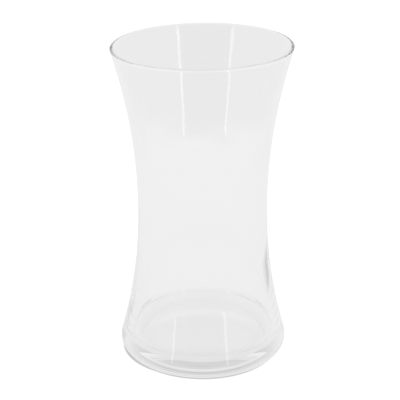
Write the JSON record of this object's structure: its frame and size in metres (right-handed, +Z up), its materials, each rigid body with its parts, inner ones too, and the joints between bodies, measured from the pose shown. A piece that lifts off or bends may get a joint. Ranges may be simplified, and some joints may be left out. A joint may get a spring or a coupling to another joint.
{
  "type": "hourglass vase",
  "caption": "Hourglass-shaped clear glass flower vase with a flared round mouth, a gentle waist, a thick crowned bottom and a heavy rounded foot that stands on a flat ring.",
  "frame": {"origin": "middle of the foot, on the surface that the vase stands on", "axes": "+Z up along the axis of the vase, which is round, so X and Y are any two level directions"},
  "size_m": [0.1102, 0.1102, 0.2],
  "materials": {
    "clear_glass": "fire-polished, clear and colourless"
  },
  "bodies": {
    "root": {"glass_body": "clear_glass"}
  },
  "joints": []
}
